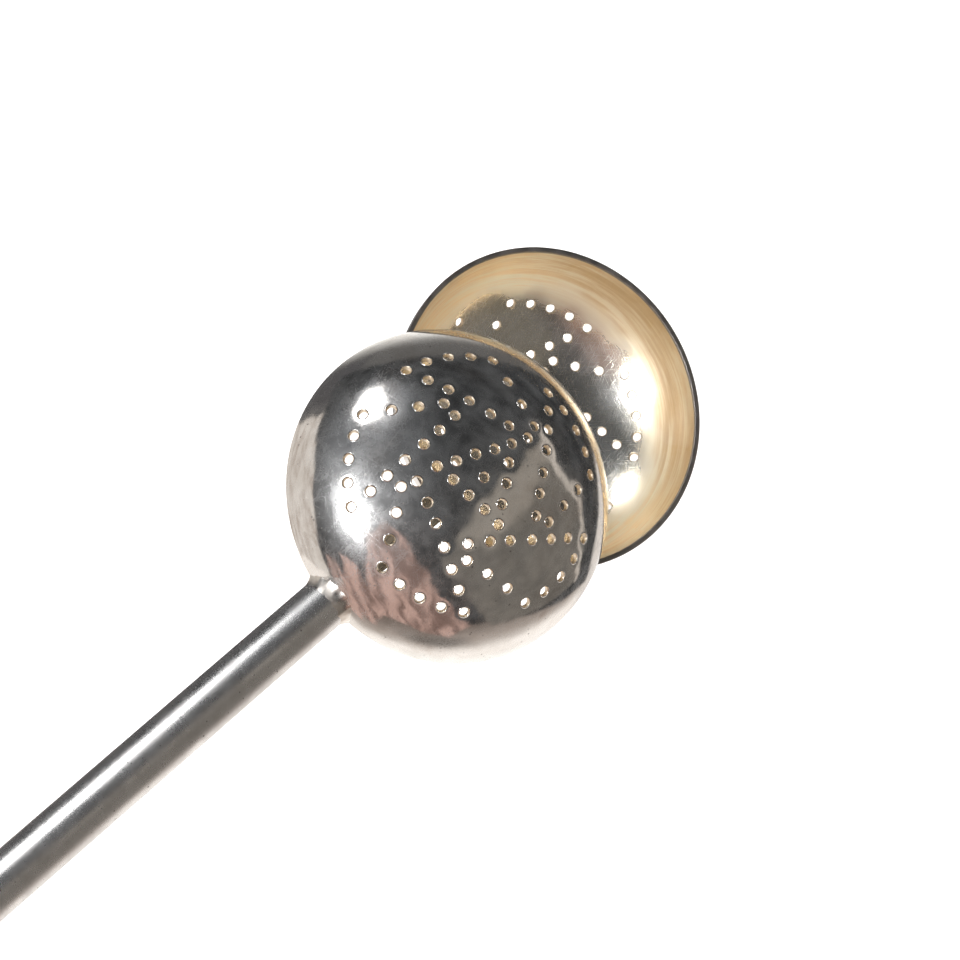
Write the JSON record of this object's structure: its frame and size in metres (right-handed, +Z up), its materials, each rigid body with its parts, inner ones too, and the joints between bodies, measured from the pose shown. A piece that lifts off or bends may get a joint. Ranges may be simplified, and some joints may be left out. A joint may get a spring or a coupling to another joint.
{
  "type": "sliding tea ball infuser",
  "caption": "Flattened tea ball of perforated metal cups on a tubular handle; a push knob slides one cup along the handle's axis to open the ball.",
  "frame": {"origin": "middle of the handle's tube on its axis, where the handle is held", "axes": "+Z up the handle, from the ball to the push knob; the fixed cup bulges towards -Y and the sliding cup towards +Y"},
  "size_m": [0.038, 0.0221, 0.1669],
  "materials": {
    "cup_plate": "polished silver plate, lightly tarnished and scratched, gilt inside",
    "handle_plate": "polished silver plate with fine wear",
    "solder": "uneven soft solder, dull",
    "brass": "turned",
    "rod_metal": "drawn",
    "pin_steel": "plain",
    "spring_steel": "plain"
  },
  "bodies": {
    "handle": {"handle_tube": "handle_plate", "fixed_cup": "cup_plate", "cup_solder": "solder", "front_bush": "brass", "end_cap": "handle_plate"},
    "plunger": {"sliding_cup": "cup_plate", "rod_solder": "solder", "slide_rod": "rod_metal", "coupler": "brass", "coupler_pins": "pin_steel", "friction_spring": "spring_steel", "spring_rivet": "pin_steel", "plunger_stem": "rod_metal", "knob": "handle_plate", "knob_pin": "pin_steel"}
  },
  "joints": [
    {"name": "cup_slide", "type": "slide", "parent": "handle", "child": "plunger", "axis": [0, 0, 1], "range_m": [-0.001, 0.017]}
  ]
}
